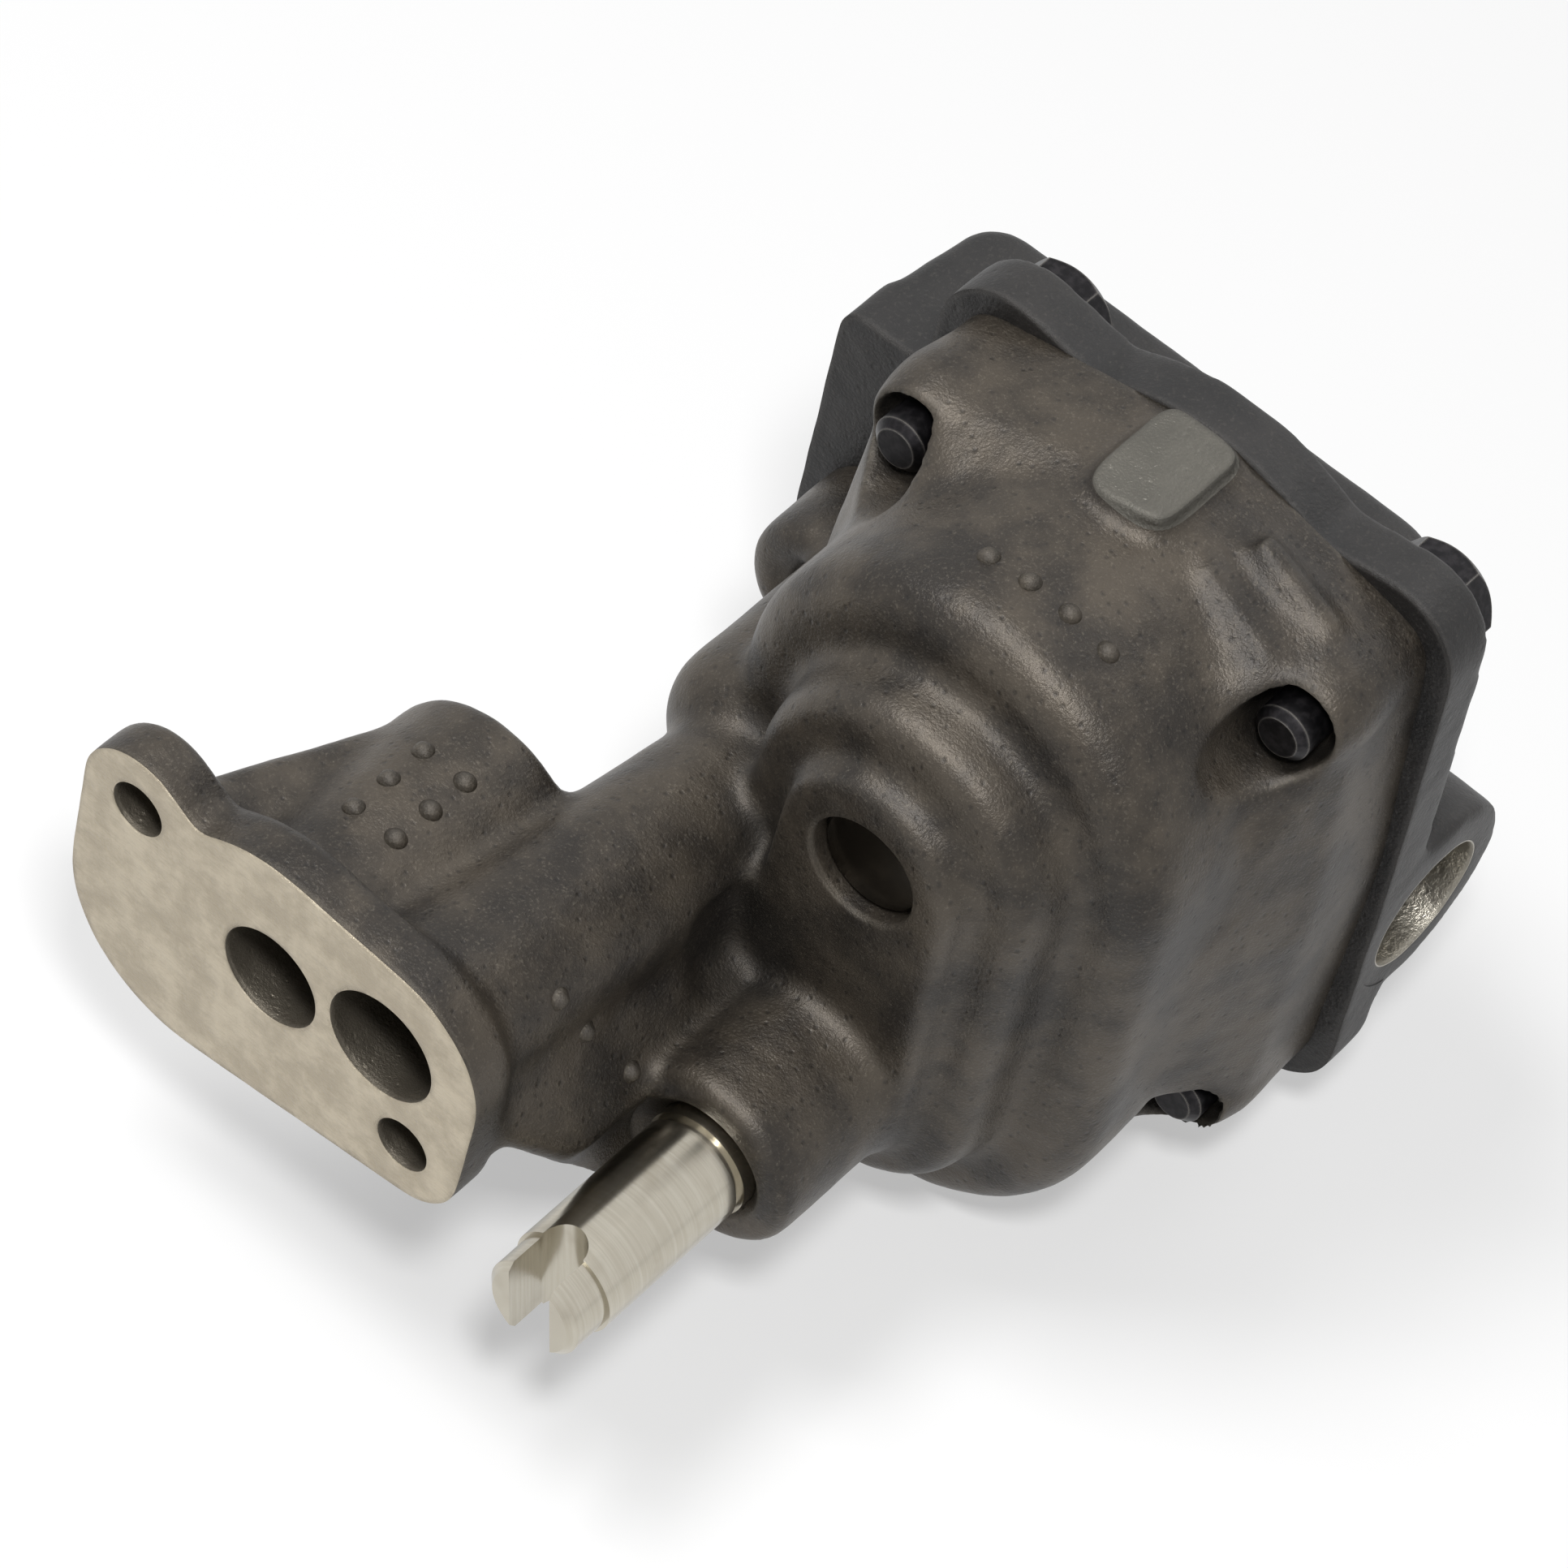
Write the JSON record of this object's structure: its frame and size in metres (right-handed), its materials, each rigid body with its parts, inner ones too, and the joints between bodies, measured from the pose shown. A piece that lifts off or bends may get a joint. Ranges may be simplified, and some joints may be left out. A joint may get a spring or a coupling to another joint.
{
  "type": "engine oil pump",
  "caption": "Gear oil pump with an oval mounting flange on a neck, a slotted drive shaft, a stepped gear housing, a screwed rear cover with a relief valve and a side inlet.",
  "frame": {"origin": "centre of the mounting bolt hole, on the machined mounting face", "axes": "+Y along the shafts, from the mounting face to the cover; +Z from the drive shaft to the idler shaft; +X from the mounting bolt across to the inlet side"},
  "size_m": [0.098, 0.113, 0.0894],
  "materials": {
    "cast_iron_body": "as cast, ground mounting face",
    "cast_iron_cover": "as cast",
    "ground_steel": "ground",
    "gear_steel": "machined",
    "spring_steel": "drawn wire",
    "black_screw_steel": "black oxide"
  },
  "bodies": {
    "housing": {"pump_body": "cast_iron_body", "pump_cover": "cast_iron_cover", "idler_shaft": "ground_steel", "relief_retaining_pin": "ground_steel", "cover_screw_top_left": "black_screw_steel", "cover_screw_top_right": "black_screw_steel", "cover_screw_bottom_left": "black_screw_steel", "cover_screw_bottom_right": "black_screw_steel", "cover_screw_side": "black_screw_steel", "lock_washer_top_left": "black_screw_steel", "lock_washer_top_right": "black_screw_steel", "lock_washer_bottom_left": "black_screw_steel", "lock_washer_bottom_right": "black_screw_steel", "lock_washer_side": "black_screw_steel"},
    "drive_rotor": {"drive_shaft": "ground_steel", "drive_gear": "gear_steel", "drive_gear_pin": "ground_steel"},
    "idler_rotor": {"idler_gear": "gear_steel"},
    "relief_plunger": {"relief_valve": "ground_steel", "relief_spring": "spring_steel"}
  },
  "joints": [
    {"name": "drive_shaft_spin", "type": "hinge", "parent": "housing", "child": "drive_rotor", "pos_m": [0.0375, 0.045, -0.0165], "axis": [0, 1, 0], "continuous": true},
    {"name": "idler_gear_spin", "type": "hinge", "parent": "housing", "child": "idler_rotor", "pos_m": [0.0375, 0.072, 0.0165], "axis": [0, 1, 0], "continuous": true},
    {"name": "relief_valve_slide", "type": "slide", "parent": "housing", "child": "relief_plunger", "axis": [-1, 0, 0], "range_m": [0, 0.007], "stiffness_N_per_m": 3500, "springref_m": -0.016, "deforming": ["relief_spring"]}
  ],
  "couplings": [
    {"joint": "idler_gear_spin", "follows": "drive_shaft_spin", "ratio": -1}
  ]
}
